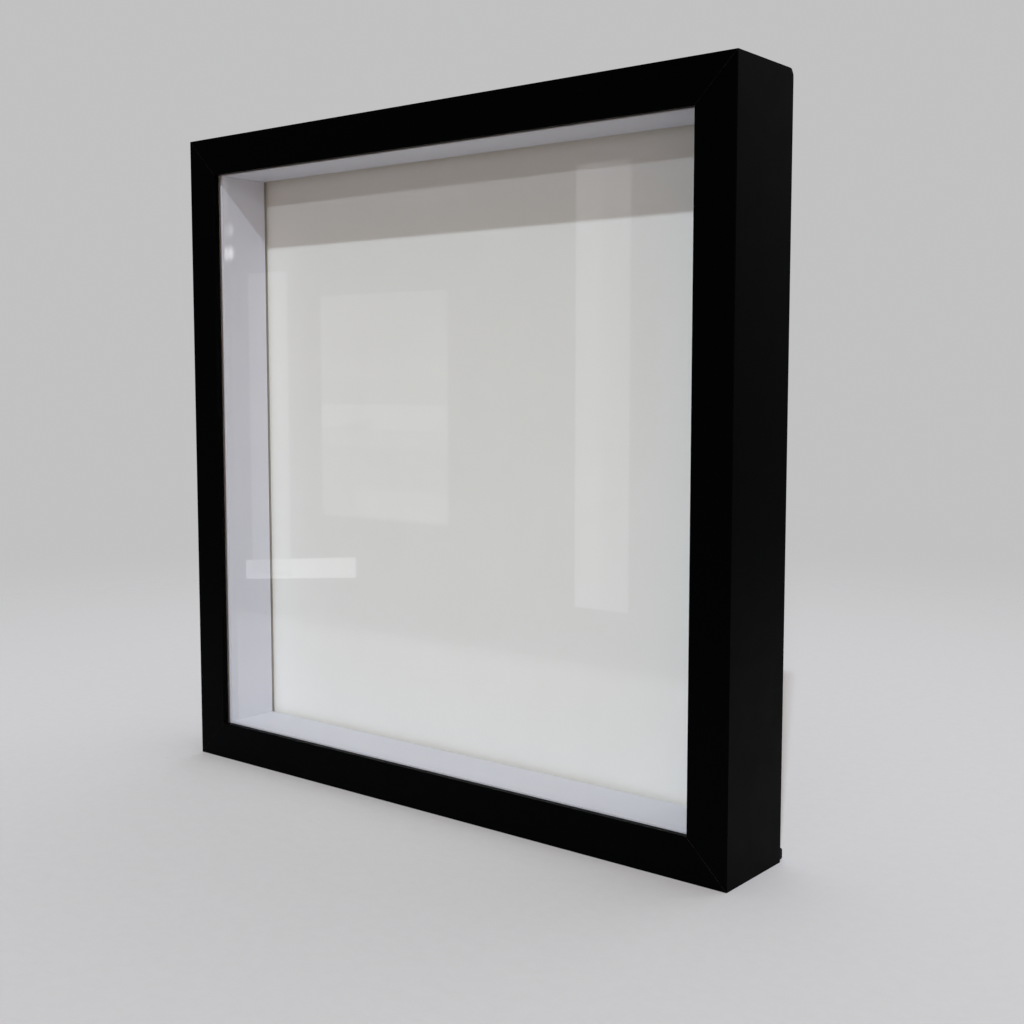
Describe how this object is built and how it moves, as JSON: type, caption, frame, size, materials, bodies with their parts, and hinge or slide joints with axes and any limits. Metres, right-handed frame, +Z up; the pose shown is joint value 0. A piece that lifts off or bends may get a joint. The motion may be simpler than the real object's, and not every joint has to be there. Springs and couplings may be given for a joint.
{
  "type": "shadow box",
  "caption": "Deep square black box frame with a glass front, white spacer-lined display space, turn-button back and ring hangers, to stand or hang.",
  "frame": {"origin": "middle of the footprint, on the surface that the box stands on", "axes": "+X to the right as seen from the glass side, +Y from the glass towards the rear, +Z up"},
  "size_m": [0.332, 0.049, 0.332],
  "materials": {
    "black_foil": "satin black foil wrapped over fibreboard",
    "glass": "clear float glass",
    "white_spacer": "smooth white-faced strip",
    "white_card": "matt white mount card",
    "foam_board": "white foam board, paper faced",
    "back_board": "plain brown hardboard",
    "zinc_steel": "bright zinc plate",
    "black_rubber": "matt black rubber"
  },
  "bodies": {
    "frame": {"rail_bottom": "black_foil", "rail_top": "black_foil", "rail_left": "black_foil", "rail_right": "black_foil", "corner_nails": "zinc_steel", "glass_pane": "glass", "spacer_bottom": "white_spacer", "spacer_top": "white_spacer", "spacer_left": "white_spacer", "spacer_right": "white_spacer", "mount_card": "white_card", "foam_board": "foam_board", "back_panel": "back_board", "turn_button_screws": "zinc_steel", "hanger_strap_left": "zinc_steel", "hanger_strap_right": "zinc_steel", "hanger_screws": "zinc_steel", "bumper_left": "black_rubber", "bumper_right": "black_rubber"},
    "turn_button_1": {"turn_button_1": "zinc_steel"},
    "turn_button_2": {"turn_button_2": "zinc_steel"},
    "turn_button_3": {"turn_button_3": "zinc_steel"},
    "turn_button_4": {"turn_button_4": "zinc_steel"},
    "turn_button_5": {"turn_button_5": "zinc_steel"},
    "turn_button_6": {"turn_button_6": "zinc_steel"},
    "turn_button_7": {"turn_button_7": "zinc_steel"},
    "turn_button_8": {"turn_button_8": "zinc_steel"},
    "ring_left": {"hanger_ring_left": "zinc_steel"},
    "ring_right": {"hanger_ring_right": "zinc_steel"}
  },
  "joints": [
    {"name": "turn_button_1_swivel", "type": "hinge", "parent": "frame", "child": "turn_button_1", "pos_m": [-0.083, 0.021, 0.0065], "axis": [0, 1, 0], "continuous": true},
    {"name": "turn_button_2_swivel", "type": "hinge", "parent": "frame", "child": "turn_button_2", "pos_m": [0.083, 0.021, 0.0065], "axis": [0, 1, 0], "continuous": true},
    {"name": "turn_button_3_swivel", "type": "hinge", "parent": "frame", "child": "turn_button_3", "pos_m": [0.1595, 0.021, 0.083], "axis": [0, 1, 0], "continuous": true},
    {"name": "turn_button_4_swivel", "type": "hinge", "parent": "frame", "child": "turn_button_4", "pos_m": [0.1595, 0.021, 0.249], "axis": [0, 1, 0], "continuous": true},
    {"name": "turn_button_5_swivel", "type": "hinge", "parent": "frame", "child": "turn_button_5", "pos_m": [0.083, 0.021, 0.3255], "axis": [0, 1, 0], "continuous": true},
    {"name": "turn_button_6_swivel", "type": "hinge", "parent": "frame", "child": "turn_button_6", "pos_m": [-0.083, 0.021, 0.3255], "axis": [0, 1, 0], "continuous": true},
    {"name": "turn_button_7_swivel", "type": "hinge", "parent": "frame", "child": "turn_button_7", "pos_m": [-0.1595, 0.021, 0.249], "axis": [0, 1, 0], "continuous": true},
    {"name": "turn_button_8_swivel", "type": "hinge", "parent": "frame", "child": "turn_button_8", "pos_m": [-0.1595, 0.021, 0.083], "axis": [0, 1, 0], "continuous": true},
    {"name": "hanger_ring_left_swing", "type": "hinge", "parent": "frame", "child": "ring_left", "pos_m": [-0.1587, 0.0228, 0.21], "axis": [1, 0, 0], "range_deg": [0, 180]},
    {"name": "hanger_ring_right_swing", "type": "hinge", "parent": "frame", "child": "ring_right", "pos_m": [0.1587, 0.0228, 0.21], "axis": [1, 0, 0], "range_deg": [0, 180]}
  ]
}
